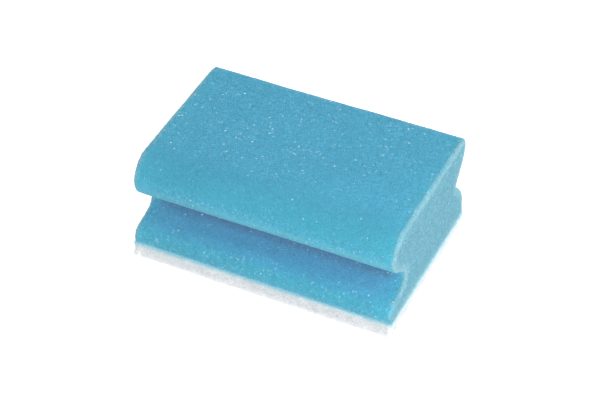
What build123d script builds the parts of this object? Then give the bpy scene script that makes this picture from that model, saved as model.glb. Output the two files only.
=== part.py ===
from build123d import *
import os

# Hand-held cleaning sponge: a profiled foam block with a groove along each long
# side, bonded by a thin adhesive film to a flat non-woven scouring pad.
#
# Frame: X runs along the grooves and Y across them, with the deep finger groove
# on the -Y side (front) and the shallower thumb groove on the +Y side (back).
# Z is up. The origin is the centre of the pad's underside. Sizes in mm.

# ---------------------------------------------------------------- driving sizes
LENGTH = 106.0          # along X
WIDTH = 70.0            # along Y, over the base
HEIGHT = 44.5           # along Z, pad underside to foam top
PAD_THICKNESS = 6.0
FILM_THICKNESS = 0.25

FOAM_END_FILLET = 0.9   # rim of both cut ends of the foam
PAD_EDGE_FILLET = 0.6   # lower edge of the pad
PAD_CORNER_RADIUS = 0.8 # upright corners of the pad and film

HALF_WIDTH = WIDTH / 2
FOAM_BOTTOM = PAD_THICKNESS + FILM_THICKNESS

# Thumb side (+Y)
SHOULDER_BACK_Z = 12.4  # top of the upright back of the base
THUMB_Z = 25.9          # deepest point of the thumb groove
THUMB_DEPTH = 7.7       # groove depth in from the lip
LIP_BACK_Z = 40.2       # where the upper lip reaches full width
CORNER_RUN = 4.0        # Y extent of the rear top corner's rounding

# Finger side (-Y)
TOP_FRONT_Y = -18.7     # where the flat top starts to roll over to the nose
NOSE_SETBACK = 0.5      # upper lip behind the front of the base
NOSE_Z = 35.8           # most forward point of the upper lip
FINGER_Z = 19.3         # deepest point of the finger groove
FINGER_DEPTH = 13.4     # groove depth behind the front of the base
SHOULDER_FRONT_Z = 10.1 # top of the upright front of the base

THUMB_Y = HALF_WIDTH - THUMB_DEPTH
NOSE_Y = -HALF_WIDTH + NOSE_SETBACK
FINGER_Y = -HALF_WIDTH + FINGER_DEPTH

# ----------------------------------------------------- foam profile, (Y, Z) points
BASE_BACK = (HALF_WIDTH, FOAM_BOTTOM)
BASE_FRONT = (-HALF_WIDTH, FOAM_BOTTOM)

SHOULDER_BACK = (HALF_WIDTH, SHOULDER_BACK_Z)
THUMB_BEND = (HALF_WIDTH - 4.4, THUMB_Z - 4.4)     # base shoulder meets groove
THUMB_GROOVE = (THUMB_Y, THUMB_Z)
LIP_BACK = (HALF_WIDTH, LIP_BACK_Z)
TOP_BACK = (HALF_WIDTH - CORNER_RUN, HEIGHT)

TOP_FRONT = (TOP_FRONT_Y, HEIGHT)
NOSE = (NOSE_Y, NOSE_Z)
FINGER_GROOVE = (FINGER_Y, FINGER_Z)
FINGER_BEND = (FINGER_Y - 7.4, FINGER_Z - 4.8)     # groove meets base shoulder
SHOULDER_FRONT = (-HALF_WIDTH, SHOULDER_FRONT_Z)

# Cubic Bezier rows: start, two control points that shape the curve, end.
# Each start's control point continues the line of the curve before it, so the
# joints are smooth.
BACK_CURVES = [
    # base shoulder
    (SHOULDER_BACK, (HALF_WIDTH, SHOULDER_BACK_Z + 4.9),
     (HALF_WIDTH - 2.5, THUMB_Z - 6.4), THUMB_BEND),
    # lower side of the thumb groove
    (THUMB_BEND, (HALF_WIDTH - 6.68, THUMB_Z - 2.0),
     (THUMB_Y, THUMB_Z - 1.6), THUMB_GROOVE),
    # upper side, sloping out to the lip
    (THUMB_GROOVE, (THUMB_Y, THUMB_Z + 2.4),
     (HALF_WIDTH, LIP_BACK_Z - 5.8), LIP_BACK),
    # rear top corner
    (LIP_BACK, (HALF_WIDTH, LIP_BACK_Z + 0.62 * (HEIGHT - LIP_BACK_Z)),
     (HALF_WIDTH - 0.3 * CORNER_RUN, HEIGHT), TOP_BACK),
]
FRONT_CURVES = [
    # roll-over from the top to the nose
    (TOP_FRONT, (TOP_FRONT_Y - 8.0, HEIGHT),
     (NOSE_Y, NOSE_Z + 5.1), NOSE),
    # undercut into the finger groove
    (NOSE, (NOSE_Y, NOSE_Z - 9.2),
     (FINGER_Y, FINGER_Z + 5.9), FINGER_GROOVE),
    # lower side of the finger groove
    (FINGER_GROOVE, (FINGER_Y, FINGER_Z - 3.4),
     (FINGER_Y - 3.9, FINGER_Z - 4.2), FINGER_BEND),
    # base shoulder
    (FINGER_BEND, (FINGER_Y - 10.6, FINGER_Z - 5.3486),
     (-HALF_WIDTH, SHOULDER_FRONT_Z + 2.7), SHOULDER_FRONT),
]


# ----------------------------------------------------------------------- pieces
def foam_body():
    """Foam block: the profile extruded along X, with softened ends."""
    with BuildPart() as foam:
        with BuildSketch(Plane.YZ.offset(-LENGTH / 2)):
            with BuildLine():
                Line(BASE_FRONT, BASE_BACK)
                Line(BASE_BACK, SHOULDER_BACK)
                for points in BACK_CURVES:
                    Bezier(*points)
                Line(TOP_BACK, TOP_FRONT)
                for points in FRONT_CURVES:
                    Bezier(*points)
                Line(SHOULDER_FRONT, BASE_FRONT)
            make_face()
        extrude(amount=LENGTH)
        ends = foam.faces().filter_by(Axis.X)
        fillet(ends.edges(), radius=FOAM_END_FILLET)
    return foam.part


def adhesive_film():
    """Film between the pad and the foam."""
    with BuildPart() as film:
        with BuildSketch(Plane.XY.offset(PAD_THICKNESS)):
            RectangleRounded(LENGTH, WIDTH, PAD_CORNER_RADIUS)
        extrude(amount=FILM_THICKNESS)
    return film.part


def scouring_pad():
    """Flat pad with a softened lower edge."""
    with BuildPart() as pad:
        with BuildSketch(Plane.XY):
            RectangleRounded(LENGTH, WIDTH, PAD_CORNER_RADIUS)
        extrude(amount=PAD_THICKNESS)
        underside = pad.faces().sort_by(Axis.Z)[0]
        fillet(underside.edges(), radius=PAD_EDGE_FILLET)
    return pad.part


# ----------------------------------------------------------------------- output
os.makedirs("parts", exist_ok=True)
for build in (foam_body, adhesive_film, scouring_pad):
    part = build()
    part.label = build.__name__
    export_step(part, f"parts/{part.label}.step")
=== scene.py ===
"""A grip sponge: a foam block with a white scouring pad glued underneath.

The sponge lies along X. The deep finger groove faces -Y (the front), the shallow thumb
groove faces +Y (the back), and the scouring pad is underneath. Lengths are in
millimetres and become metres when a mesh is written. Materials, lights and the camera
are in metres.
"""
import math
from itertools import product
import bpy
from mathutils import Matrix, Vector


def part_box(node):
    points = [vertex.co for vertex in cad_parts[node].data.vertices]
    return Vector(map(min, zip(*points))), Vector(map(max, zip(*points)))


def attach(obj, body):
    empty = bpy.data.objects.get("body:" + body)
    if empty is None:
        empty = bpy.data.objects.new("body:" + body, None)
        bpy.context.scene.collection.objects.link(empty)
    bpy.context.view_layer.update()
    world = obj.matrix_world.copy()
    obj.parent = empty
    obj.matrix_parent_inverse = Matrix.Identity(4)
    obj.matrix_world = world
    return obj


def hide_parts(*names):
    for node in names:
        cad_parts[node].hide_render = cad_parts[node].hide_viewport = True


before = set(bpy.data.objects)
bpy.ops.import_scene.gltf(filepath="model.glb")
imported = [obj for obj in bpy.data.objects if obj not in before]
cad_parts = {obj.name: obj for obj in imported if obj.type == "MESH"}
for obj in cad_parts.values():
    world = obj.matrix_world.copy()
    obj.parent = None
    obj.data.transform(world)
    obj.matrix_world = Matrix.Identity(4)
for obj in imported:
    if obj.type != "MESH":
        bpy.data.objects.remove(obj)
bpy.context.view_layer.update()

from types import SimpleNamespace

import bpy
import numpy as np
from mathutils import Vector, geometry

MM = 0.001

# ------------------------------------------------------------ driving dimensions
CELL = 0.86          # spacing of the foam's cells
CELL_END = 0.84      # the same on the two cut ends, where the cells lie fully open
CELL_HIDDEN = 3.0    # spacing on the underside, which the pad covers
RIM = 0.75           # rounding where the cut ends meet the long sides
PIT = 0.20           # depth of an average open cell
GROOVE_DEPTH = 13.4  # depth at which a groove's shade is full
PAD_INSET = 0.25     # how far the pad's core lies inside the CAD pad
PAD_CORNER = 0.7     # radius of the pad's upright corners
FIBRE_SIDES = 4      # sides of a fibre's tube
OUTLINE_STEPS = 2400  # even steps in the sampled foam outline


def box_mm(node):
    """Lowest and highest corner of a CAD node."""
    return [np.array(corner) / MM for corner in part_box(node)]


(_, FOAM_FRONT, FOAM_BASE), (HALF_LENGTH, FOAM_BACK, _) = box_mm("foam_body")
(PAD_X0, PAD_Y0, _), (PAD_X1, PAD_Y1, pad_z1) = box_mm("scouring_pad")
PAD_TOP = pad_z1 - 0.01


# ------------------------------------------------------------- noise and ramps
def hash01(ix, iy, iz, seed):
    """Repeatable random value from 0 to 1 at whole-number grid points."""
    bits = (
        ix.astype(np.int64) * 374761393
        + iy.astype(np.int64) * 668265263
        + iz.astype(np.int64) * 2147483647
        + seed * 1274126177
    ) & 0xFFFFFFFF
    bits = ((bits ^ (bits >> 13)) * 1274126177) & 0xFFFFFFFF
    bits = ((bits ^ (bits >> 16)) * 2246822519) & 0xFFFFFFFF
    return ((bits ^ (bits >> 15)) & 0xFFFFFF) / float(0xFFFFFF)


def noise(points, size, seed):
    """Smooth noise from -1 to 1 over points, with features of about size."""
    scaled = np.asarray(points, float) / size
    cell = np.floor(scaled).astype(np.int64)
    ease = scaled - cell
    ease = ease * ease * ease * (ease * (ease * 6 - 15) + 10)
    total = np.zeros(len(scaled))
    for corner in product((0, 1), repeat=3):
        wx, wy, wz = (ease[:, k] if d else 1 - ease[:, k] for k, d in enumerate(corner))
        total += wx * wy * wz * hash01(*(cell + corner).T, seed)
    return total * 2 - 1


def layered(points, size, seed, layers):
    """Several sizes of noise added together, each half the size and strength of the last."""
    out, strength, total = 0, 1.0, 0.0
    for k in range(layers):
        out = out + strength * noise(points, size / 2**k, seed + 17 * k)
        total += strength
        strength *= 0.5
    return out / total


def step(value, lo, hi):
    """Smooth ramp from 0 at lo to 1 at hi."""
    t = np.clip((value - lo) / (hi - lo), 0, 1)
    return t * t * (3 - 2 * t)


def hump(value, middle, width):
    """Bell curve, 1 at the middle."""
    return np.exp(-(((value - middle) / width) ** 2))


def between(value, lo, hi):
    return (value > lo) & (value < hi)


def unit(vectors):
    size = np.linalg.norm(vectors, axis=-1, keepdims=True)
    return vectors / np.maximum(size, 1e-9)


def unit_flat(vectors):
    return vectors / np.hypot(*vectors.T)[:, None]


# ---------------------------------------------------------------- mesh writing
def make_mesh(name, points, quads, tris=np.empty((0, 3), int)):
    """A smooth-shaded mesh object from numpy arrays."""
    mesh = bpy.data.meshes.new(name)
    quad_count, tri_count = len(quads), len(tris)
    mesh.vertices.add(len(points))
    mesh.vertices.foreach_set("co", (points * MM).astype(np.float32).ravel())
    loops = np.concatenate([quads.ravel(), tris.ravel()])
    mesh.loops.add(len(loops))
    mesh.loops.foreach_set("vertex_index", loops.astype(np.int32))
    mesh.polygons.add(quad_count + tri_count)
    starts = np.concatenate([np.arange(quad_count) * 4, quad_count * 4 + np.arange(tri_count) * 3])
    mesh.polygons.foreach_set("loop_start", starts.astype(np.int32))
    mesh.polygons.foreach_set("use_smooth", np.ones(quad_count + tri_count, bool))
    mesh.update(calc_edges=True)
    mesh.validate()
    piece = bpy.data.objects.new(name, mesh)
    bpy.context.scene.collection.objects.link(piece)
    return piece


def put(piece, name, values):
    """Stores one value for each point of a piece, for its material to read."""
    attribute = piece.data.attributes.new(name, "FLOAT", "POINT")
    attribute.data.foreach_set("value", np.asarray(values, np.float32))


def loop_points(mesh):
    """The point number at each face corner."""
    which = np.empty(len(mesh.loops), np.int32)
    mesh.loops.foreach_get("vertex_index", which)
    return which


def put_pattern(mesh, u, v):
    """Writes the unfolded pattern used for baking."""
    layer = mesh.uv_layers.new(name="OFBake")
    layer.data.foreach_set("uv", np.stack([u, v], 1).astype(np.float32).ravel())
    return layer


# ------------------------------------------------------- the foam's side profile
def side_profile(node):
    """The closed Y-Z outline of a CAD node that is one profile along X, read from the
    ring of points where its rounded end begins, anticlockwise seen from +X."""
    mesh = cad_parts[node].data
    points = np.empty(len(mesh.vertices) * 3, np.float32)
    mesh.vertices.foreach_get("co", points)
    points = points.reshape(-1, 3).astype(float) / MM
    # that ring is the outermost plane on which the block still has its full height
    planes, which = np.unique(np.round(points[:, 0], 3), return_inverse=True)
    full = np.ptp(points[:, 2]) - 4e-3
    ring_x = max(x for k, x in enumerate(planes) if np.ptp(points[which == k, 2]) > full)
    on_ring = np.where(np.abs(points[:, 0] - ring_x) < 2e-3)[0]
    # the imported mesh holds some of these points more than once, so copies are joined
    flat = points[on_ring, 1:]
    apart = np.hypot(*(flat[:, None] - flat[None]).transpose(2, 0, 1))
    first = (apart < 0.004).argmax(1)
    place = {int(v): tuple(flat[f].tolist()) for v, f in zip(on_ring, first)}
    links = {}
    for edge in mesh.edges:
        a, b = edge.vertices
        if a in place and b in place and place[a] != place[b]:
            links.setdefault(place[a], set()).add(place[b])
            links.setdefault(place[b], set()).add(place[a])
    # walk from neighbour to nearest neighbour until the loop closes
    start = min(links, key=lambda k: (k[1], k[0]))
    loop, before, here = [start], None, start
    while True:
        ahead = [k for k in links[here] if k != before and k not in loop[1:]]
        if not ahead:
            break
        nearest = min(ahead, key=lambda k: (k[0] - here[0]) ** 2 + (k[1] - here[1]) ** 2)
        if nearest == start:
            break
        before, here = here, nearest
        loop.append(here)
    ring = np.array(loop)
    following = np.roll(ring, -1, axis=0)
    area = np.sum(ring[:, 0] * following[:, 1] - following[:, 0] * ring[:, 1])
    return ring if area > 0 else ring[::-1]


def foam_outline():
    """The foam's profile as a closed loop. It starts in the middle of the hidden
    underside, so that its seam can't be seen, and goes towards +Y first."""
    ring = side_profile("foam_body")
    low = ring[ring[:, 1] < FOAM_BASE + 1e-3]
    front, back = low[low[:, 0].argmin()], low[low[:, 0].argmax()]
    ring = np.roll(ring, -int(np.where((ring == back).all(1))[0][0]), axis=0)
    # the underside keeps only its two outer points
    half_width = min(-front[0], back[0]) - 1e-3
    between_them = (ring[:, 1] < FOAM_BASE + 1e-3) & (np.abs(ring[:, 0]) < half_width)
    return np.vstack([[0.0, FOAM_BASE], ring[~between_them], [0.0, FOAM_BASE]])


outline = foam_outline()
outline_at = np.concatenate([[0], np.cumsum(np.hypot(*np.diff(outline, axis=0).T))])

# Places round the profile are lengths along it from the middle of the underside
ROUND = outline_at[-1]                # once round the profile
BASE_BACK = outline_at[1]             # where the underside ends, at +Y
BASE_FRONT = outline_at[-2]           # where it begins again, at -Y
TOP_START, TOP_STOP = BASE_BACK + 43.0, BASE_BACK + 94.0     # the flat top

# Places along X are measured round the rim, so the ends' borders lie at +-RIM_END
RIM_START = HALF_LENGTH - RIM
RIM_END = RIM_START + RIM * np.pi / 2


def soften(table, width):
    """Evens out the rows of a closed table over a width along the profile."""
    size = int(width / (ROUND / OUTLINE_STEPS)) | 1
    kernel = np.hanning(size + 2)[1:-1]
    kernel /= kernel.sum()
    body = table[:-1]
    padded = np.concatenate([body[-size:], body, body[:size]])
    columns = [np.convolve(column, kernel, "same")[size:-size] for column in padded.T]
    out = np.stack(columns, 1)
    return np.vstack([out, out[:1]])


# an even sampling of the outline, with softened corners and outward normals
sample_at = np.linspace(0, ROUND, OUTLINE_STEPS + 1)
sharp = np.stack([np.interp(sample_at, outline_at, outline[:, k]) for k in (0, 1)], 1)
rim_inner = soften(sharp, 3.6)        # a rounder line, for the inner edge of the rims
profile = soften(sharp, 1.1)
tangent = np.roll(profile[:-1], -1, axis=0) - np.roll(profile[:-1], 1, axis=0)
tangent = np.vstack([tangent, tangent[:1]])
outward = np.stack([tangent[:, 1], -tangent[:, 0]], 1)
outward = unit_flat(soften(unit_flat(outward), 3.0))


def on_side(around, along):
    """Points and normals on the long sides and their rounded rims."""
    around = np.mod(around, ROUND)
    point, inner, normal = (
        np.stack([np.interp(around, sample_at, table[:, k]) for k in (0, 1)], 1)
        for table in (profile, rim_inner, outward)
    )
    normal = unit_flat(normal)
    turn = np.clip((np.abs(along) - RIM_START) / RIM, 0, np.pi / 2)
    end = np.sign(along)
    x = np.where(turn > 0, end * (RIM_START + RIM * np.sin(turn)), along)
    inset = RIM * (1 - np.cos(turn))
    point = point + (inner - point) * (inset / RIM)[:, None]
    # next to no rounding along the underside, where the block sits on the pad
    above = np.minimum(around - BASE_BACK, BASE_FRONT - around)
    inset = inset * (0.12 + 0.88 * step(above, 0.5, 4.0))
    point = point - normal * inset[:, None]
    return (
        np.column_stack([x, point]),
        np.column_stack([end * np.sin(turn), normal * np.cos(turn)[:, None]]),
    )


# ------------------------------------------------------- where the foam's cells lie
def lattice(x0, x1, y0, y1, spacing, jitter, rng):
    """Jittered triangular lattice over a rectangle."""
    rows = int((y1 - y0) / (spacing * 0.866)) + 1
    columns = int((x1 - x0) / spacing) + 2
    i, j = np.meshgrid(np.arange(columns), np.arange(rows))
    x = x0 + (i + 0.5 * (j % 2)) * spacing
    y = y0 + j * spacing * 0.866
    points = np.stack([x.ravel(), y.ravel()], 1)
    return points + (rng.random(points.shape) * 2 - 1) * jitter * spacing


def triangulate(points, border=None):
    """Triangles over flat points; border is a closed loop of point numbers."""
    flat = [Vector((float(a), float(b))) for a, b in points]
    if border is None:
        out = geometry.delaunay_2d_cdt(flat, [], [], 0, 1e-7)
    else:
        out = geometry.delaunay_2d_cdt(flat, [], [list(border)], 1, 1e-7)
    original = [sources[0] for sources in out[3]]
    tris = np.array([[original[k] for k in face] for face in out[2]], np.int64)
    a, b, c = points[tris[:, 0]], points[tris[:, 1]], points[tris[:, 2]]
    area = (b[:, 0] - a[:, 0]) * (c[:, 1] - a[:, 1]) - (b[:, 1] - a[:, 1]) * (c[:, 0] - a[:, 0])
    tris[area < 0] = tris[area < 0][:, ::-1]
    return tris[np.abs(area) > 1e-6]


def against_border(points, border):
    """Whether each flat point lies inside a closed border, and how far from it."""
    inside = np.zeros(len(points), bool)
    distance = np.full(len(points), 1e9)
    for p, q in zip(border, np.roll(border, -1, axis=0)):
        crosses = (p[1] > points[:, 1]) != (q[1] > points[:, 1])
        with np.errstate(divide="ignore", invalid="ignore"):
            cross_at = (q[0] - p[0]) * (points[:, 1] - p[1]) / (q[1] - p[1]) + p[0]
        inside ^= crosses & (points[:, 0] < cross_at)
        edge = q - p
        t = np.clip(((points - p) @ edge) / max(edge @ edge, 1e-12), 0, 1)
        distance = np.minimum(distance, np.hypot(*(points - p - t[:, None] * edge).T))
    return inside, distance


def side_lattice(rng):
    """Cells over the unrolled long sides, wide apart where the pad hides them."""
    seen = lattice(
        0.4 * CELL, ROUND - 0.4 * CELL, -RIM_END + 0.75 * CELL, RIM_END - 0.75 * CELL,
        spacing=CELL, jitter=0.36, rng=rng,
    )
    around, along = seen.T
    keep = between(around, BASE_BACK - 1.6, BASE_FRONT + 1.6) | (np.abs(along) > HALF_LENGTH - 2.5)
    keep = keep & between(around, 0.8, ROUND - 0.8) & (along < RIM_END - 0.5 * CELL)
    hidden = lattice(
        1.0, ROUND - 1.0, -HALF_LENGTH + 3.4, HALF_LENGTH - 3.4,
        spacing=CELL_HIDDEN, jitter=0.2, rng=rng,
    )
    around = hidden[:, 0]
    under = (around < BASE_BACK - 3.2) | (around > BASE_FRONT + 3.2)
    return np.vstack([seen[keep], hidden[under & between(around, 1.2, ROUND - 1.2)]])


def foam_cells():
    """The centres of the foam's cells, joined into one closed triangle mesh.

    centre and normal are 3D, around is the place round the profile (-1 on the ends),
    past is how far a cell lies past the rim of its end (below 0 on the long sides).
    """
    rng = np.random.default_rng(20)
    # rim rings at -X and +X, shared with the ends
    rim_count = int(ROUND / CELL)
    rims = []
    for _ in range(2):
        wander = (rng.random(rim_count) - 0.5) * 0.5
        rims.append((np.arange(rim_count) + 0.5 + wander) * ROUND / rim_count)
    # the seam along the middle of the underside, once for each side of the sheet
    seam_count = int(2 * RIM_END / CELL_HIDDEN) + 1
    seam = np.linspace(-RIM_END, RIM_END, seam_count)
    flat = np.vstack([
        np.column_stack([rims[0], np.full(rim_count, -RIM_END)]),
        np.column_stack([rims[1], np.full(rim_count, RIM_END)]),
        np.column_stack([np.zeros(seam_count), seam]),
        np.column_stack([np.full(seam_count, ROUND), seam]),
        side_lattice(rng),
    ])
    # join the two sides of the seam
    seam_a = 2 * rim_count
    seam_b = seam_a + seam_count
    joined = np.arange(len(flat))
    joined[seam_b:seam_b + seam_count] = np.arange(seam_a, seam_b)
    side_centre, side_normal = on_side(flat[:, 0], flat[:, 1])
    centres, normals, arounds = [side_centre], [side_normal], [flat[:, 0]]
    pasts = [np.abs(flat[:, 1]) - RIM_END]
    tris = [joined[triangulate(flat)]]
    total = len(flat)
    # cut ends
    for k, end in enumerate((-1, 1)):
        corner = seam_a if end < 0 else seam_b - 1
        rim = np.concatenate([[corner], np.arange(k * rim_count, (k + 1) * rim_count)])
        border = side_centre[rim][:, 1:]
        z1 = box_mm("foam_body")[1][2]
        inner = lattice(
            FOAM_FRONT, FOAM_BACK, FOAM_BASE, z1, spacing=CELL_END, jitter=0.38, rng=rng
        )
        inside, distance = against_border(inner, border)
        keep = inside & (distance > 0.5 * CELL_END)
        inner, distance = inner[keep], distance[keep]
        cap = triangulate(np.vstack([border, inner]), range(len(border)))
        if end < 0:
            cap = cap[:, ::-1]
        tris.append(np.concatenate([rim, total + np.arange(len(inner))])[cap])
        centres.append(np.column_stack([np.full(len(inner), end * HALF_LENGTH), inner]))
        normals.append(np.tile([end, 0.0, 0.0], (len(inner), 1)))
        arounds.append(np.full(len(inner), -1.0))
        pasts.append(distance)
        total += len(inner)
    tris = np.vstack(tris)
    used = np.unique(tris)
    renumber = np.full(total, -1)
    renumber[used] = np.arange(len(used))
    cells = SimpleNamespace(
        centre=np.vstack(centres)[used],
        normal=np.vstack(normals)[used],
        around=np.concatenate(arounds)[used],
        past=np.concatenate(pasts)[used],
    )
    cells.tris = orient(cells.centre, cells.normal, renumber[tris])
    cells.on_side = cells.around >= 0
    return cells


def orient(points, normals, tris):
    """Turns every triangle so that it faces the way its corner normals do."""
    a, b, c = points[tris[:, 0]], points[tris[:, 1]], points[tris[:, 2]]
    flip = (np.cross(b - a, c - a) * normals[tris].sum(1)).sum(1) < 0
    tris = tris.copy()
    tris[flip] = tris[flip][:, ::-1]
    return tris


# Swellings and hollows round the front of the profile: height, place, width
FRONT_HUMPS = ((-0.55, 149.5, 5.5), (0.44, 138.5, 4.6), (0.32, 188.5, 4.5))


def shape_block(cells):
    """Soft, hand-cut irregularity: slow waves over every face, the nose drawn in, the
    top swollen a touch and the lower corners pressed flat."""
    x, _, z = cells.centre.T
    around = cells.around
    wave = layered(cells.centre, size=22.0, seed=3, layers=2) * 0.16
    wave = wave + noise(cells.centre, size=6.5, seed=5) * 0.05
    bulge = (0.16 + 0.20 * step(x, -45.0, -5.0)) * step(around, TOP_START, TOP_START + 12)
    bulge = bulge * (1 - step(around, TOP_STOP - 6, TOP_STOP + 6))
    for height, place, width in FRONT_HUMPS:
        bulge = bulge + height * hump(around, place, width)
    wave = (wave + np.where(cells.on_side, bulge, 0.0)) * np.where(z < FOAM_BASE + 0.8, 0.0, 1.0)
    centre = cells.centre + cells.normal * wave[:, None]
    centre[:, 2] = np.maximum(centre[:, 2], FOAM_BASE)
    x, y, z = centre.T
    # the lower corners stay nearly square, pressed flat against the pad
    front = step(around, BASE_FRONT - 5.0, BASE_FRONT - 3.0) * (around < BASE_FRONT - 0.15)
    back = (1 - step(around, BASE_BACK + 3.0, BASE_BACK + 5.0)) * (around > BASE_BACK + 0.15)
    press = np.where(y < 0, front, back) * cells.on_side
    squared = np.where(y < 0, np.minimum(y, FOAM_FRONT + 0.02), np.maximum(y, FOAM_BACK - 0.12))
    y += press * (squared - y)
    normal = cells.normal
    pressed = np.stack([normal[:, 0], np.sign(y), np.full(len(y), -0.12)], 1)
    cells.normal = unit(normal + press[:, None] * (pressed - normal))
    # the block is cut a touch long
    extra = np.where(x < 0, -0.22, 0.03 + 0.10 * step(18.0 - z, 0.0, 9.0))
    x += extra * step(np.abs(x), 40.0, HALF_LENGTH)
    cells.centre = centre
    cells.hidden = (z < FOAM_BASE + 0.25) & (cells.normal[:, 2] < -0.6)
    # the foot of the finger groove, and the lip over it
    cells.low_side = cells.on_side & (z < 13.5) & (around > 150)
    cells.lip = cells.on_side & (np.abs(around - 150.0) < 3.5)


# ------------------------------------------------------------------ foam block
def opposite(tris, count):
    """For each half edge 3t+k, running from corner k to the next, the half edge on its
    other side."""
    a = tris.ravel()
    b = np.roll(tris, -1, axis=1).ravel()
    key, back = a * count + b, b * count + a
    order = np.argsort(key)
    at = np.minimum(np.searchsorted(key[order], back), len(key) - 1)
    open_edges = key[order][at] != back
    if open_edges.any():
        raise RuntimeError(f"{open_edges.sum()} open edges in a mesh that should be closed")
    return order[at]


def open_cells(cells, depth, shrink=0.40, ring_depth=0.72):
    """Turns the closed triangle mesh into foam. Each of its points becomes one open
    cell, a rounded pit, and each triangle a joint of the struts between three cells.

    The points are the joints, then a ring point for each triangle corner, then the pit
    bottoms. Also returns how deep each lies, 0 on a strut and 1 at a cell's bottom.
    """
    tris, centre, normal = cells.tris, cells.centre, cells.normal
    count = len(tris)
    owner = tris.ravel()
    triangle = np.repeat(np.arange(count), 3)
    joint = centre[tris].mean(1)
    ring = joint[triangle] * (1 - shrink) + centre[owner] * shrink
    ring = ring - normal[owner] * (depth[owner] * ring_depth)[:, None]
    points = np.vstack([joint, ring, centre - normal * depth[:, None]])
    facing = opposite(tris, len(centre))
    other = facing // 3
    ring_here = count + np.arange(3 * count)
    # the same cell's ring point in the neighbouring triangle
    ring_there = count + 3 * other + (facing % 3 + 1) % 3
    quads = np.stack([other, triangle, ring_here, ring_there], 1)
    pit_tris = np.stack([ring_there, ring_here, 4 * count + owner], 1)
    pit = np.concatenate([np.zeros(count), np.full(3 * count, 0.6), np.ones(len(centre))])
    return points, quads, pit_tris, pit


# Painted highlights on cells that a skin closes, from faint to strong. Each row replaces
# the one before: share of cells, extra share in a drift, least brightness, its spread
GLINTS = (
    (0.030, 0.110, 0.10, 0.16),
    (0.016, 0.060, 0.26, 0.26),
    (0.0035, 0.0170, 0.62, 0.38),
)


def cell_glints(cells, rng):
    """Painted highlights on cells that a skin of foam still closes: a few strong, more of
    them faint, gathered in drifts."""
    x, around = cells.centre[:, 0], cells.around
    drift = step(layered(cells.centre, size=10.0, seed=41, layers=3), -0.05, 0.50)
    low_drift = 0.26 + 0.5 * drift + 0.5 * hump(x, -12.5, 6.0)
    drift = np.where(cells.low_side, low_drift, drift)
    drift = np.where(cells.lip, 0.12 + 0.35 * drift, drift)
    # few of them just above the lip
    calm = np.where(cells.on_side & between(around, 131, 149.2), 0.16, 1.0)
    mark = rng.random(len(x)) / calm
    spread = rng.random(len(x))
    glint = np.zeros(len(x))
    for share, drift_share, least, span in GLINTS:
        glint = np.where(mark < share + drift_share * drift, least + span * spread, glint)
    glint = np.where(cells.on_side, glint, glint * 0.45)
    return np.where(cells.hidden, 0.0, glint)


def cell_depths(cells, glint, rng):
    """Depth of each cell's pit: shallow under a skin, none on the underside."""
    depth = PIT * (0.55 + 0.9 * rng.random(len(glint)))
    depth = depth * (1 - 0.85 * glint)
    depth = np.where(cells.on_side, depth, depth * 1.25)
    depth = np.where(cells.hidden, 0.0, depth)
    low = step(cells.centre[:, 2], FOAM_BASE + 0.3, FOAM_BASE + 1.6)
    return depth * np.where(cells.on_side, low, 1.0)


def groove_shades(cells):
    """Three painted shades: how deep a cell lies in a groove, for the groove's bluer painted
    shade; the painted shade close under the nose; and the two crests, painted darker where they
    face the light."""
    x, y, _ = cells.centre.T
    around = cells.around
    to_right, to_left = HALF_LENGTH - x, HALF_LENGTH + x
    deep = np.where(y < 0, (y - FOAM_FRONT) / GROOVE_DEPTH, (FOAM_BACK - y) / GROOVE_DEPTH)
    thumb = between(around, BASE_BACK + 4, BASE_BACK + 38)
    finger = between(around, 154, BASE_FRONT - 4)
    deep = np.clip(deep, 0, 1) * (thumb | finger) * step(np.abs(around - 150.0), 3.0, 10.0)
    deep = deep * step(to_right, -1.5, 11.0) * step(to_left, -2.0, 7.0)
    nose = step(177.0 - around, 0.0, 5.5) * step(around, 156.0, 163.0)
    nose = nose * step(to_right, -1.0, 8.0) * step(to_left, -1.0, 6.0)
    crest = np.clip(hump(around, 144.5, 8.5) + hump(around, 188.5, 4.6), 0, 1) * cells.on_side
    return deep, nose, crest


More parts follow.
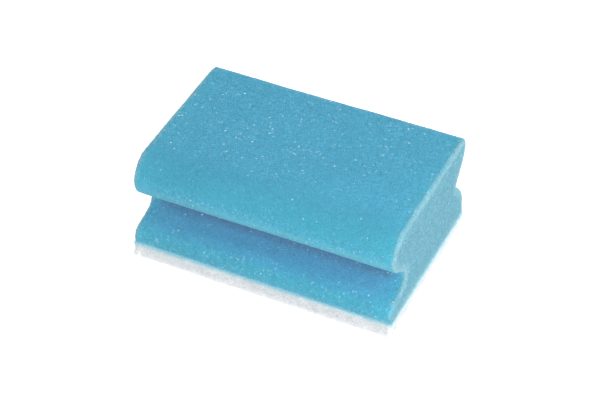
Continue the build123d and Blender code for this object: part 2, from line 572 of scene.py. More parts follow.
def paint_foam(foam, cells, glint, pit, rng):
    """Stores what the foam's material reads."""
    x, _, z = cells.centre.T
    around, past, side = cells.around, cells.past, cells.on_side
    count = len(x)

    def put_cells(name, values):
        """Spreads a value known at each cell to the points of the foam mesh."""
        values = np.asarray(values, float)
        at_corners = values[cells.tris]
        put(foam, name, np.concatenate([at_corners.mean(1), at_corners.ravel(), values]))

    def frayed(size, seed, swing, top):
        """A strip along the foot with a ragged upper edge."""
        height = z - FOAM_BASE + noise(cells.centre, size, seed) * swing
        return 1 - step(height + (rng.random(count) - 0.5) * 0.5, 0.0, top)

    tone = np.clip(rng.normal(0, 1, count), -2.5, 2.5)
    tone = tone * (1 + 0.8 * step(past, -0.2, 1.0))
    tone = tone * np.where(side & between(around, 131, 146.8), 0.62, 1.0)
    ragged = past + noise(cells.centre, size=2.6, seed=61) * 0.65
    ragged = ragged + (rng.random(count) - 0.5) * 0.9
    cut = np.maximum(step(ragged, -2.4, -1.1), step(past, -1.25, -0.45))
    pale = cut * (1 - step(ragged, 0.5, 3.5)) * np.where(z < 14, 0.45, 1.0)
    # the lowest part, where pad fibres and torn foam mix
    hem = frayed(size=1.8, seed=62, swing=0.35, top=1.25)
    end_hem = frayed(size=2.2, seed=63, swing=0.5, top=2.0)
    rim = step(past, -1.2, -0.2)
    deep, nose, crest = groove_shades(cells)

    put_cells("cell_tone", tone)
    put_cells("glint", glint)
    put(foam, "pit", pit)
    put_cells("cut_end", cut)
    put_cells("pale_rim", pale)
    # painted glow on the sides near the cut ends, for light that comes through them
    put_cells("edge_glow", np.where(side, 0.55 * np.exp(past / 5.0), 0.0))
    # painted shades: bluer deep in the grooves, darker under the nose, darker on the crests
    put_cells("deep", deep)
    put_cells("shade_in", nose)
    put_cells("crest", crest)
    put_cells("hem", np.where(side, hem * (1.0 - rim), 0.0))
    put_cells("end_hem", end_hem * np.where(side, rim, 1.0))
    put_cells("turned", step(past, -1.5, -0.3))
    # painted highlight: the lip's down-turned edge made paler than its shade, fainter towards -X
    put_cells("lip", hump(around, 152.8, 1.6) * (0.62 + 0.38 * step(x, -45.0, 30.0)) * side)


def foam_chart(foam, cells, points):
    """The foam's unfolded pattern, so that baked colours lie on it evenly: the long
    sides as one sheet, the hidden underside squeezed small, and the two ends beside it."""
    margin, gap, squeezed = 1.0, 1.5, 0.125
    mesh, tris = foam.data, cells.tris
    which = loop_points(mesh)
    size = np.empty(len(mesh.polygons), np.int32)
    mesh.polygons.foreach_get("loop_total", size)
    first = np.concatenate([[0], np.cumsum(size)[:-1]])
    face = np.repeat(np.arange(len(size)), size)

    # an unrolled place for each point; the ends' cells take a neighbour's, or 0
    cell_along = np.sign(cells.centre[:, 0]) * (RIM_END + cells.past)
    tri_around = cells.around[tris]
    known = tri_around >= 0
    a, b, c = tri_around[:, :1], tri_around[:, 1:2], tri_around[:, 2:3]
    lead = np.where(known[:, :1], a, np.where(known[:, 1:2], b, c))
    turns = np.round((tri_around - lead) / ROUND)
    tri_around = np.where(known, tri_around - ROUND * turns, lead)

    def sheet(at_corners, at_cells):
        """Values at the joints, the ring points and the pit bottoms, in mesh order."""
        middle = at_corners.mean(1)
        rings = at_corners.ravel() * 0.40 + np.repeat(middle, 3) * 0.60
        return np.concatenate([middle, rings, at_cells])[which]

    around = sheet(tri_around, np.where(cells.on_side, cells.around, 0.0))
    along = sheet(cell_along[tris], cell_along)
    # keep each face whole across the seam
    around = around - ROUND * np.round((around - around[first][face]) / ROUND)
    middle = np.add.reduceat(around, first) / size
    around = around - np.floor(middle / ROUND)[face] * ROUND

    def squeeze(around):
        before = np.minimum(around, BASE_BACK) * squeezed
        seen = np.clip(around - BASE_BACK, 0, BASE_FRONT - BASE_BACK)
        return before + seen + np.maximum(around - BASE_FRONT, 0) * squeezed

    scale = 1.0 / (squeeze(np.array([ROUND]))[0] + 2 * gap)
    x, y, z = points[which].T
    # a face belongs to an end when all its points lie past the rim
    tri_past = cells.past[tris].mean(1)
    past = np.concatenate([tri_past, np.repeat(tri_past, 3), cells.past])[which]
    is_end = (np.minimum.reduceat(past, first) > 0.05)[face]
    end_u = margin + 2 * RIM_END + 2 * gap + gap + (z - FOAM_BASE)
    width = FOAM_BACK - FOAM_FRONT
    end_v = gap + (y - FOAM_FRONT) + np.where(np.sign(x) > 0, 0.0, width + 2 * gap)
    u = np.where(is_end, end_u * scale, (margin + RIM_END + gap + along) * scale)
    v = np.where(is_end, end_v * scale, (gap + squeeze(around)) * scale)
    put_pattern(mesh, u, v).active = True


def build_foam(cells):
    rng = np.random.default_rng(7)
    glint = cell_glints(cells, rng)
    depth = cell_depths(cells, glint, rng)
    points, quads, tris, pit = open_cells(cells, depth)
    # ragged struts: joints stand a little up or down
    joints = len(cells.tris)
    ragged = (rng.random(len(points)) - 0.45)[:joints]
    free = (~cells.hidden[cells.tris]).all(1).astype(float)
    points[:joints] += cells.normal[cells.tris].mean(1) * (free * ragged * 0.10)[:, None]
    points[:, 2] = np.maximum(points[:, 2], FOAM_BASE)
    foam = make_mesh("foam_block", points, quads, tris)
    paint_foam(foam, cells, glint, pit, rng)
    foam_chart(foam, cells, points)
    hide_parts("foam_body")
    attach(foam, "root")
    return foam


# ------------------------------------------------------------- fibres and slabs
def tubes(lines, radius):
    """Closed thin tubes along many lines at once, lines being (how many, points, 3)."""
    count, k, _ = lines.shape
    ahead = unit(np.gradient(lines, axis=1))
    up = np.tile([0.31, 0.17, 0.93], (count, 1))
    parallel = np.abs((ahead[:, k // 2] * up).sum(1)) > 0.9
    up[parallel] = [0.9, -0.3, 0.1]
    a = unit(np.cross(ahead, up[:, None, :]))
    b = np.cross(ahead, a)
    angle = (np.arange(FIBRE_SIDES) * 2 * np.pi / FIBRE_SIDES)[None, None, :, None]
    circle = np.cos(angle) * a[:, :, None, :] + np.sin(angle) * b[:, :, None, :]
    rings = lines[:, :, None, :] + radius[:, None, None, None] * circle
    tip0 = lines[:, 0] - ahead[:, 0] * radius[:, None] * 0.8
    tip1 = lines[:, -1] + ahead[:, -1] * radius[:, None] * 0.8
    body = k * FIBRE_SIDES
    parts = [rings.reshape(count, body, 3), tip0[:, None], tip1[:, None]]
    points = np.concatenate(parts, 1).reshape(-1, 3)
    i, j = np.meshgrid(np.arange(k - 1), np.arange(FIBRE_SIDES), indexing="ij")
    here, there = i.ravel() * FIBRE_SIDES, (i.ravel() + 1) * FIBRE_SIDES
    j = j.ravel()
    j2 = (j + 1) % FIBRE_SIDES
    quads = np.stack([here + j2, there + j2, there + j, here + j], 1)
    j = np.arange(FIBRE_SIDES)
    j2 = (j + 1) % FIBRE_SIDES
    last = body - FIBRE_SIDES
    start = np.stack([np.full(FIBRE_SIDES, body), j2, j], 1)
    stop = np.stack([np.full(FIBRE_SIDES, body + 1), last + j, last + j2], 1)
    tips = np.concatenate([start, stop])
    base = (np.arange(count) * (body + 2))[:, None, None]
    return points, (quads[None] + base).reshape(-1, 4), (tips[None] + base).reshape(-1, 3)


def fibre_piece(name, lines, radius, tone, slot):
    """One piece made of many fibres, each with its own tone and its own patch of the
    pattern."""
    count, k, _ = lines.shape
    piece = make_mesh(name, *tubes(lines, radius))
    body = k * FIBRE_SIDES
    each = body + 2
    put(piece, "fibre_tone", np.repeat(tone, each))
    which = loop_points(piece.data)
    fibre, local = which // each, which % each
    tip = np.where(local == body, 0, k - 1)
    ring = np.where(local < body, local // FIBRE_SIDES, tip)
    side = np.where(local < body, local % FIBRE_SIDES, 1.5)
    patches = int(np.ceil(np.sqrt(count)))
    u = (fibre % patches + 0.15 + 0.7 * ring / (k - 1)) / patches
    v = (fibre // patches + 0.15 + 0.7 * side / (FIBRE_SIDES - 1)) / patches
    put_pattern(piece.data, u, v)
    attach(piece, "root")
    return piece


def fibre_looks(rng, count, thinnest, spread, pale=0.0):
    """Radius and tone of each fibre."""
    return thinnest + spread * rng.random(count), rng.normal(0, 1, count) + pale


def slab(lo, hi, spacing, radius):
    """A closed grid over a box with rounded edges: its points, outward directions and
    faces. spacing and radius are given for x, y and z."""
    lo, hi, radius = np.array(lo, float), np.array(hi, float), np.array(radius, float)
    counts = np.maximum(1, np.round((hi - lo) / spacing).astype(int))

    def sheet(axis, at, flip):
        others = [k for k in range(3) if k != axis]
        a, b = np.meshgrid(*(np.arange(counts[k]) for k in others), indexing="ij")
        corners = []
        for da, db in ((0, 0), (1, 0), (1, 1), (0, 1)):
            corner = np.empty((a.size, 3), int)
            corner[:, axis] = at
            corner[:, others[0]] = a.ravel() + da
            corner[:, others[1]] = b.ravel() + db
            corners.append(corner)
        faces = np.stack(corners, 1)
        return faces[:, ::-1] if flip else faces

    faces = np.concatenate([
        sheet(2, counts[2], False), sheet(2, 0, True),
        sheet(0, counts[0], False), sheet(0, 0, True),
        sheet(1, 0, False), sheet(1, counts[1], True),
    ])
    steps, where = np.unique(faces.reshape(-1, 3), axis=0, return_inverse=True)
    points = lo + (hi - lo) * steps / counts
    inner = np.clip(points, lo + radius, hi - radius)
    out = unit((points - inner) / radius)
    return inner + radius * out, unit(out / radius), where.reshape(-1, 4)


# --------------------------------------------------------------- scouring pad
# A felt of layered fibres: a soft core, and over it the fibres that can be seen
# one by one. The cut edge wanders a little and stands slightly proud of the foam in
# front and at -X.
def pad_edge(points):
    """How far the pad's cut edge stands out of or back from its straight outline."""
    x, y, z = points.T
    flat = points * [1, 1, 0]
    wave = noise(flat, size=17.0, seed=71) * 0.20 + noise(flat, size=5.5, seed=72) * 0.12
    front = 0.12 + 0.10 * step(x, 0, 50) + 0.58 * (1 - step(z, 0.5, 5.5))
    left = (0.35 + 0.70 * (1 - step(z, 0.5, 5.8))) * step(-x, 51.0, 52.6)
    return wave + (np.where(y < -20, front, 0.0) + left)


def build_pad_core():
    points, out, quads = slab(
        lo=(PAD_X0 + PAD_INSET, PAD_Y0 + PAD_INSET, 0.28),
        hi=(PAD_X1 - PAD_INSET, PAD_Y1 - PAD_INSET, PAD_TOP),
        spacing=(0.72, 0.72, 0.62),
        radius=(PAD_CORNER, PAD_CORNER, 0.14),
    )
    sideways = 1 - np.abs(out[:, 2])
    tuck = 0.28 * np.clip(1 - points[:, 2] / 1.5, 0, 1) ** 2
    points = points + out * ((pad_edge(points) - tuck) * sideways)[:, None]
    bumps = noise(points, size=2.1, seed=81) * 0.14 + noise(points, size=1.0, seed=82) * 0.12
    under = step(-out[:, 2], 0.3, 0.9)
    points = points + out * (bumps * np.maximum(sideways, 0.6 * under))[:, None]
    points[:, 2] = np.clip(points[:, 2], 0.12, PAD_TOP)
    core = make_mesh("scouring_pad_core", points, quads)
    tone = noise(points, size=1.3, seed=83) * 0.5 + noise(points, size=4.0, seed=84) * 0.3
    put(core, "fibre_tone", tone)
    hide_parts("scouring_pad")
    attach(core, "root")
    return core


# the straight outline as a path round the pad, anticlockwise seen from above, from the
# front left; its legs are straight and corner by turns
LEG_X = PAD_X1 - PAD_INSET - PAD_CORNER
LEG_Y = PAD_Y1 - PAD_INSET - PAD_CORNER
QUARTER = np.pi / 2 * PAD_CORNER
LEG_AT = np.concatenate([[0], np.cumsum([2 * LEG_X, QUARTER, 2 * LEG_Y, QUARTER] * 2)])
PERIMETER = LEG_AT[-1]
# leg: start x, y, direction x, y, outward x, y
STRAIGHTS = {
    0: (-LEG_X, -LEG_Y - PAD_CORNER, 1, 0, 0, -1),
    2: (LEG_X + PAD_CORNER, -LEG_Y, 0, 1, 1, 0),
    4: (LEG_X, LEG_Y + PAD_CORNER, -1, 0, 0, 1),
    6: (-LEG_X - PAD_CORNER, LEG_Y, 0, -1, -1, 0),
}
# leg: centre x, y, starting angle
CORNERS = {
    1: (LEG_X, -LEG_Y, -np.pi / 2),
    3: (LEG_X, LEG_Y, 0.0),
    5: (-LEG_X, LEG_Y, np.pi / 2),
    7: (-LEG_X, -LEG_Y, np.pi),
}


def round_pad(path):
    """Point and outward direction on the pad's outline, path being the length along it."""
    path = np.mod(path, PERIMETER)
    leg = np.clip(np.searchsorted(LEG_AT, path, "right") - 1, 0, 7)
    run = path - LEG_AT[leg]
    x, y, out_x, out_y = (np.zeros_like(path) for _ in range(4))
    for k, (x0, y0, dx, dy, side_x, side_y) in STRAIGHTS.items():
        on = leg == k
        x[on], y[on] = x0 + dx * run[on], y0 + dy * run[on]
        out_x[on], out_y[on] = side_x, side_y
    for k, (x0, y0, angle0) in CORNERS.items():
        on = leg == k
        angle = angle0 + run[on] / PAD_CORNER
        out_x[on], out_y[on] = np.cos(angle), np.sin(angle)
        x[on], y[on] = x0 + PAD_CORNER * out_x[on], y0 + PAD_CORNER * out_y[on]
    return np.stack([x, y], -1), np.stack([out_x, out_y], -1)


def off_pad(path, z, lift, follow=1.0):
    """3D points lifted off the pad's cut edge, following its wander in part or whole."""
    point, out = round_pad(path)
    flat = np.concatenate([point, z[..., None]], -1)
    wander = pad_edge(flat.reshape(-1, 3)).reshape(path.shape) * follow
    return np.concatenate([point + out * (wander + lift)[..., None], z[..., None]], -1)


def walk(angle, length):
    """Offsets along a curved line of a given length, from its heading at each point."""
    stride = length[:, None] / (angle.shape[1] - 1)
    return np.cumsum(np.cos(angle) * stride, 1), np.cumsum(np.sin(angle) * stride, 1)


def side_fibres(seed, first, last, count):
    """Fibres lying on the pad's cut edge between two places on its outline, mostly
    along it, some with a loose end."""
    rng = np.random.default_rng(seed)

    def draw():
        return rng.random(count)[:, None]

    start = first + (last - first) * rng.random(count)
    height = 0.12 + (PAD_TOP - 0.2) * rng.random(count)
    heading = rng.normal(0, 0.42, count) + np.where(rng.random(count) < 0.5, 0, np.pi)
    bend = rng.normal(0, 0.75, count)
    length = 1.2 + 3.6 * rng.random(count) ** 1.5
    f = np.linspace(0, 1, 7)[None]
    angle = heading[:, None] + bend[:, None] * f + 0.35 * np.sin(f * 5 + draw() * 6)
    run, rise = walk(angle, length)
    # fibres that would leave the edge turn back at its top and bottom
    top = PAD_TOP + 0.10
    z = np.abs(height[:, None] + rise - 0.10) + 0.10
    z = np.where(z > top, 2 * top - z, z)
    z = np.clip(z, 0.08, top)
    lift = 0.05 + 0.22 * draw() + 0.10 * np.sin(f * np.pi * 2 + draw() * 6)
    loose = draw() < 0.16
    lift = lift + loose * np.maximum(f - 0.55, 0) * (0.5 + 1.1 * draw())
    # follow the rounded upper and lower edges
    middle = PAD_TOP / 2
    over = np.clip((np.abs(z - middle - 0.1) - (middle - 0.75)) / 0.8, 0, 0.98)
    lift = lift - np.where(z > middle, 0.15, 0.50) * (1 - np.sqrt(1 - over**2))
    return off_pad(start[:, None] + run, z, lift)


def seam_fibres(seed, count):
    """Short fibres along the pad's upper edge, which blur its line against the foam."""
    rng = np.random.default_rng(seed)
    f = np.linspace(0, 1, 6)[None]
    start = PERIMETER * rng.random(count)
    height = PAD_TOP - 0.55 + 0.95 * rng.random(count) ** 1.5
    angle = rng.normal(0, 0.25, count)[:, None] + rng.normal(0, 0.5, count)[:, None] * f
    angle = angle + np.where(rng.random(count) < 0.5, 0, np.pi)[:, None]
    run, rise = walk(angle, 1.0 + 2.6 * rng.random(count))
    z = np.clip(height[:, None] + rise * 0.5, PAD_TOP - 0.8, PAD_TOP + 0.60)
    lift = 0.20 + 0.24 * rng.random(count)[:, None]
    lift = lift + 0.06 * np.sin(f * 6 + rng.random(count)[:, None] * 6)
    return off_pad(start[:, None] + run, z, lift, follow=0.8)


def under_fibres(seed, count):
    """Fibres lying flat on the pad's working face, in every direction."""
    rng = np.random.default_rng(seed)
    x = (PAD_X0 + 1.0) + (PAD_X1 - PAD_X0 - 2.0) * rng.random(count)
    y = (PAD_Y0 + 1.0) + (PAD_Y1 - PAD_Y0 - 2.0) * rng.random(count)
    heading = rng.random(count) * 2 * np.pi
    bend = rng.normal(0, 0.9, count)
    length = 4.0 + 7.0 * rng.random(count)
    f = np.linspace(0, 1, 7)[None]
    wiggle = 0.4 * np.sin(f * 5 + rng.random(count)[:, None] * 6)
    run_x, run_y = walk(heading[:, None] + bend[:, None] * f + wiggle, length)
    x, y = x[:, None] + run_x, y[:, None] + run_y
    # fibres that would leave the face turn back at its border
    limit_x, limit_y = PAD_X1 - 0.75, PAD_Y1 - 0.75
    for _ in range(2):
        x = np.where(np.abs(x) > limit_x, np.sign(x) * (2 * limit_x - np.abs(x)), x)
        y = np.where(np.abs(y) > limit_y, np.sign(y) * (2 * limit_y - np.abs(y)), y)
    z = 0.09 + 0.20 * rng.random(count)[:, None]
    z = z + 0.06 * np.sin(f * 6 + rng.random(count)[:, None] * 6)
    # and rise a little towards it
    inward = np.minimum(limit_x - np.abs(x), limit_y - np.abs(y))
    z = z + 0.30 * np.exp(-np.maximum(inward, 0) / 0.5)
    return np.stack([x, y, np.clip(z, 0.085, 0.8)], -1)


# name, seed, first and last place on the pad's outline, count
EDGE_FIBRES = (
    ("pad_fibres_front", 101, LEG_AT[0] - 0.6, LEG_AT[1] + 1.2, 3450),
    ("pad_fibres_right", 102, LEG_AT[2] - 1.0, LEG_AT[3] + 1.0, 1900),
    ("pad_fibres_back", 103, LEG_AT[4] - 1.0, LEG_AT[5] + 1.0, 3450),
    ("pad_fibres_left", 104, LEG_AT[6] - 1.0, LEG_AT[7] + 1.0, 1900),
)


def build_edge_fibres():
    pieces = []
    for name, seed, first, last, count in EDGE_FIBRES:
        rng = np.random.default_rng(seed + 50)
        looks = fibre_looks(rng, count, thinnest=0.048, spread=0.034)
        lines = side_fibres(seed, first, last, count)
        pieces.append(fibre_piece(name, lines, *looks, slot="pad"))
    return pieces


def build_seam_fibres(count=3800):
    rng = np.random.default_rng(170)
    looks = fibre_looks(rng, count, thinnest=0.042, spread=0.026, pale=0.8)
    return fibre_piece("pad_fibres_seam", seam_fibres(106, count), *looks, slot="pad")


def build_under_fibres(count=3300):
    rng = np.random.default_rng(160)
    looks = fibre_looks(rng, count, thinnest=0.06, spread=0.03)
    return fibre_piece("pad_fibres_under", under_fibres(105, count), *looks, slot="pad")


# ----------------------------------------------------------------- film of glue
def build_glue():
    lo, hi = box_mm("adhesive_film")
    inset = np.array([0.04, 0.04, 0.005])
    points, out, quads = slab(
        lo + inset, hi - inset, spacing=(0.8, 0.8, 0.08), radius=(0.7, 0.7, 0.05)
    )
    flat = points * [1, 1, 0]
    wave = noise(flat, size=6.0, seed=91) * 0.06 + noise(flat, size=2.4, seed=92) * 0.05
    wave = wave * (1 - np.abs(out[:, 2]))
    points[:, :2] += out[:, :2] * wave[:, None]
    glue = make_mesh("adhesive_film_visible", points, quads)
    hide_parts("adhesive_film")
    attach(glue, "root")
    return glue


# ------------------------------------------------------------------ torn foam
def build_strands(cells, count=1300):
    """Torn struts standing off the foam, most of them low in front and on the rims."""
    rng = np.random.default_rng(200)
    side = cells.on_side
    odds = np.where(cells.low_side, 3.0, 0.25) + np.where(cells.lip, 2.4, 0.0)
    odds = odds + np.where(side & (cells.past > -1.6), 2.6, 0.0) + np.where(~side, 0.25, 0.0)
    bare = cells.hidden | (cells.centre[:, 2] < FOAM_BASE + 0.5)
    odds = np.where(bare, 0.0, odds)
    pick = rng.choice(len(odds), count, replace=False, p=odds / odds.sum())
    out = cells.normal[pick]
    lean = rng.normal(0, 1, (count, 3))
    lean = unit(lean - out * (lean * out).sum(1)[:, None])
    length = (0.45 + 0.85 * rng.random(count))[:, None, None]
    f = np.linspace(0, 1, 5)[None, :, None]
    curl = rng.normal(0, 0.55, count)[:, None, None]
    rise = (0.05 + 0.22 * rng.random(count))[:, None, None]
    lines = cells.centre[pick][:, None] - out[:, None] * 0.10 + lean[:, None] * length * f
    lines = lines + np.cross(out, lean)[:, None] * curl * length * f * f
    lines = lines + out[:, None] * rise * np.sin(f * np.pi * 0.9) * 1.3
    looks = fibre_looks(rng, count, thinnest=0.030, spread=0.02)
    return fibre_piece("foam_strands", lines, *looks, slot="foam")


def build_fringe(cells, count=4200):
    """The foam's lower edge frays down over the top of the pad."""
    rng = np.random.default_rng(210)
    foot = (cells.centre[:, 2] < FOAM_BASE + 1.25) & ~cells.hidden
    edge = np.where(foot & (np.abs(cells.normal[:, 2]) < 0.75))[0]
    odds = np.where(cells.on_side[edge], 1.0, 0.10)
    pick = rng.choice(edge, count, replace=True, p=odds / odds.sum())
    out = unit(cells.normal[pick] * [1, 1, 0])
    along = np.stack([-out[:, 1], out[:, 0], np.zeros(count)], 1)
    start = cells.centre[pick] + along * rng.normal(0, 0.35, count)[:, None] + [0, 0, 0.1]
    f = np.linspace(0, 1, 5)[None, :, None]
    fall = np.clip(start[:, 2] - FOAM_BASE, 0, 2) + 0.25 + 1.60 * rng.random(count) ** 1.3
    lean = rng.normal(0, 0.5, count)[:, None, None]
    swing = rng.normal(0, 0.4, count)[:, None, None]
    stand = 0.12 + 0.34 * f + 0.10 * np.sin(f * np.pi) * rng.random(count)[:, None, None]
    lines = start[:, None] + along[:, None] * (lean * f + swing * f * f)
    lines = lines + out[:, None] * stand - np.array([0, 0, 1.0]) * fall[:, None, None] * f
    looks = fibre_looks(rng, count, thinnest=0.030, spread=0.024)
    return fibre_piece("foam_fringe", lines, *looks, slot="foam")


# --------------------------------------------------------------- material kit
class Finish:
    """A material around one Principled shader. Its textures use object coordinates."""

    def __init__(self, name):
        self.mat = bpy.data.materials.new(name)
        self.mat.use_nodes = True
        self.tree = self.mat.node_tree
        self.tree.nodes.clear()
        out = self.new("OutputMaterial")
        self.bsdf = self.new("BsdfPrincipled")
        self.tree.links.new(self.bsdf.outputs[0], out.inputs["Surface"])
        self.coord = self.new("TexCoord").outputs["Object"]

    def new(self, kind):
        return self.tree.nodes.new("ShaderNode" + kind)

    def link(self, value, socket):
        """Joins a socket to another node's output, or gives it a plain value."""
        if hasattr(value, "is_output"):
            self.tree.links.new(value, socket)
        else:
            socket.default_value = value

    def set(self, inputs):
        """Fills inputs of the Principled shader."""
        for name, value in inputs.items():
            self.link(value, self.bsdf.inputs[name])

    def attr(self, name):
        node = self.new("Attribute")
        node.attribute_name = name
        return node.outputs["Fac"]

    def math(self, operation, a, b, c=0.0, clamp=False):
        node = self.new("Math")
        node.operation = operation
        node.use_clamp = clamp
        for k, value in enumerate((a, b, c)):
            self.link(value, node.inputs[k])
        return node.outputs[0]

    def times(self, a, b):
        return self.math("MULTIPLY", a, b)

    def times_add(self, a, factor, extra):
        return self.math("MULTIPLY_ADD", a, factor, extra)

    def noise(self, scale, detail=2.0, rough=0.5):
        node = self.new("TexNoise")
        self.link(self.coord, node.inputs["Vector"])
        node.inputs["Scale"].default_value = scale
        node.inputs["Detail"].default_value = detail
        node.inputs["Roughness"].default_value = rough
        return node.outputs["Fac"]

    def voronoi(self, scale, feature="F1"):
        node = self.new("TexVoronoi")
        node.feature = feature
        self.link(self.coord, node.inputs["Vector"])
        node.inputs["Scale"].default_value = scale
        return node.outputs["Distance"]

    def remap(self, value, lo, hi, to_lo=0.0, to_hi=1.0):
        node = self.new("MapRange")
        node.clamp = True
        self.link(value, node.inputs["Value"])
        limits = {"From Min": lo, "From Max": hi, "To Min": to_lo, "To Max": to_hi}
        for name, limit in limits.items():
            node.inputs[name].default_value = limit
        return node.outputs[0]

    def mix(self, factor, a, b, kind="MIX"):
        node = self.new("Mix")
        node.data_type = "RGBA"
        node.blend_type = kind
        self.link(factor, node.inputs["Factor"])
        self.link(a, node.inputs[6])
        self.link(b, node.inputs[7])
        return node.outputs[2]

    def shade(self, colour, brightness):
        """A colour made lighter or darker by a value."""
        grey = self.new("CombineColor")
        for k in range(3):
            self.link(brightness, grey.inputs[k])
        return self.mix(1.0, colour, grey.outputs[0], "MULTIPLY")

    def place(self):
        """The x, y and z of the point being shaded."""
        node = self.new("SeparateXYZ")
        self.link(self.coord, node.inputs[0])
        return node.outputs

    def bump(self, height, strength, distance):
        node = self.new("Bump")
        node.inputs["Strength"].default_value = strength
        node.inputs["Distance"].default_value = distance
        self.link(height, node.inputs["Height"])
        return node.outputs[0]

    def fade_down(self, colour, below):
        """A colour above the join that turns into another one just under it."""
        low, high = (FOAM_BASE - 1.7) * MM, (FOAM_BASE + 0.2) * MM
        return self.mix(self.remap(self.place()[2], high, low), colour, below)


# ------------------------------------------------------------------- materials
FOAM_COLOURS = SimpleNamespace(
    side=(0.0715, 0.389, 0.570, 1),
    side_patch=(0.0695, 0.376, 0.560, 1),
    # crest, crest_left: painted shade where the crests face the light, darker towards -X
    crest=(0.0585, 0.346, 0.471, 1),
    crest_left=(0.058, 0.326, 0.455, 1),
    # lip: painted highlight on the lip's down-turned edge
    lip=(0.106, 0.444, 0.532, 1),
    # under_nose: painted shade close under the nose
    under_nose=(0.081, 0.205, 0.352, 1),
    hem=(0.285, 0.620, 0.715, 1),
    end_hem=(0.38, 0.51, 0.57, 1),
    # groove: painted shade, bluer deep in the grooves
    groove=(0.137, 0.389, 0.636, 1),
    # edge_glow: painted glow of light coming through the cut ends
    edge_glow=(0.088, 0.475, 0.640, 1),
    end=(0.118, 0.322, 0.406, 1),
    end_speck=(0.092, 0.275, 0.352, 1),
    rim=(0.180, 0.382, 0.454, 1),
    rim_side=(0.139, 0.392, 0.492, 1),   # the rim before it turns onto the end
    # glint: painted highlight on cells that a skin closes
    glint=(0.64, 0.88, 0.95, 1),
)


def foam_material():
    m = Finish("foam_finish")
    colours = FOAM_COLOURS
    slow = m.noise(scale=45.0, detail=3.0)
    patch = m.noise(scale=130.0, detail=3.0, rough=0.6)
    blotch = m.times_add(patch, factor=0.5, extra=m.times(slow, 0.5))
    base = m.mix(m.remap(blotch, 0.38, 0.62), colours.side, colours.side_patch)
    # painted light: a little lighter towards the front right, where more light falls
    x, y, _ = m.place()
    toward = m.times_add(x, factor=0.55, extra=m.times(y, -0.85))
    base = m.shade(base, m.remap(toward, 0.015, 0.030, to_lo=1.0, to_hi=1.07))
    # the crests painted a darker blue, a painted shade where they face the light, darker still
    # towards -X
    crest = m.mix(m.remap(x, 0.01, -0.048), colours.crest, colours.crest_left)
    base = m.mix(m.attr("crest"), base, crest)
    # painted highlight on the lip, painted bluer shade deep in the grooves, painted shade under
    # the nose
    for name, strength, colour in (
        ("lip", 0.80, colours.lip),
        ("deep", 0.80, colours.groove),
        ("shade_in", 0.95, colours.under_nose),
    ):
        base = m.mix(m.times(m.attr(name), strength), base, colour)
    # painted glow near the cut ends, standing for light that comes through them
    base = m.mix(m.attr("edge_glow"), base, colours.edge_glow)
    # the cut ends, stippled, with a pale rim
    stipple = m.remap(m.noise(scale=2300.0, detail=3.0, rough=0.75), 0.36, 0.62)
    face = m.mix(stipple, colours.end_speck, colours.end)
    face = m.mix(m.attr("pale_rim"), face, colours.rim)
    face = m.mix(m.attr("turned"), colours.rim_side, face)
    base = m.mix(m.attr("cut_end"), base, face)
    base = m.mix(m.times(m.attr("hem"), 0.9), base, colours.hem)
    base = m.mix(m.times(m.attr("end_hem"), 0.50), base, colours.end_hem)
    # each cell a touch lighter or darker, its bottom painted in shade, its struts painted lighter
    # as if catching light
    tone = m.times_add(m.attr("cell_tone"), factor=0.056, extra=1.0)
    pit = m.remap(m.attr("pit"), 0.0, 1.0, to_lo=1.05, to_hi=0.90)
    grain = m.noise(scale=3300.0, rough=0.6)
    grain = m.remap(grain, 0.32, 0.68, to_lo=0.82, to_hi=1.18)
    shade = m.times(m.times(tone, pit), grain)
    # painted shade: a little darker towards the -X end
    shade = m.times(shade, m.remap(x, -0.010, -0.053, to_lo=1.0, to_hi=0.96))
    base = m.shade(base, shade)
    # painted highlight: a pale, less rough spot at the middle of each glinting cell
    skin = m.remap(m.attr("pit"), 0.50, 0.85, to_lo=0.10, to_hi=1.0)
    glint = m.times(m.attr("glint"), skin)
    base = m.mix(m.times(glint, 0.92), base, colours.glint)
    edges = m.times(m.voronoi(scale=1500.0, feature="DISTANCE_TO_EDGE"), 0.8)
    fine = m.math("ADD", edges, m.noise(scale=3200.0, rough=0.6))
    m.set({
        "Base Color": base,
        "Roughness": m.times_add(glint, factor=-0.45, extra=0.92),
        "Specular IOR Level": 0.30,
        "Sheen Weight": 0.22,
        "Sheen Roughness": 0.5,
        "Sheen Tint": (0.85, 0.95, 1.0, 1),
        "Normal": m.bump(fine, strength=0.55, distance=0.00012),
    })
    return m.mat


def strand_material(name, dark, light, below=None):
    """Torn foam, dark to light by fibre, turning into another colour below the join."""
    m = Finish(name)
    base = m.mix(m.remap(m.attr("fibre_tone"), -2.0, 2.0), dark, light)
    middle = tuple((a + b) / 2 for a, b in zip(dark, light))
    base = m.mix(m.remap(m.noise(scale=2200.0), 0.3, 0.7, to_hi=0.4), base, middle)
    if below:
        base = m.fade_down(base, below)
    m.set({
        "Base Color": base,
        "Roughness": m.remap(m.noise(scale=1800.0), 0.3, 0.7, to_lo=0.55, to_hi=0.80),
        "Specular IOR Level": 0.35,
        "Normal": m.bump(m.noise(scale=6000.0), strength=0.3, distance=0.00003),
    })
    return m.mat


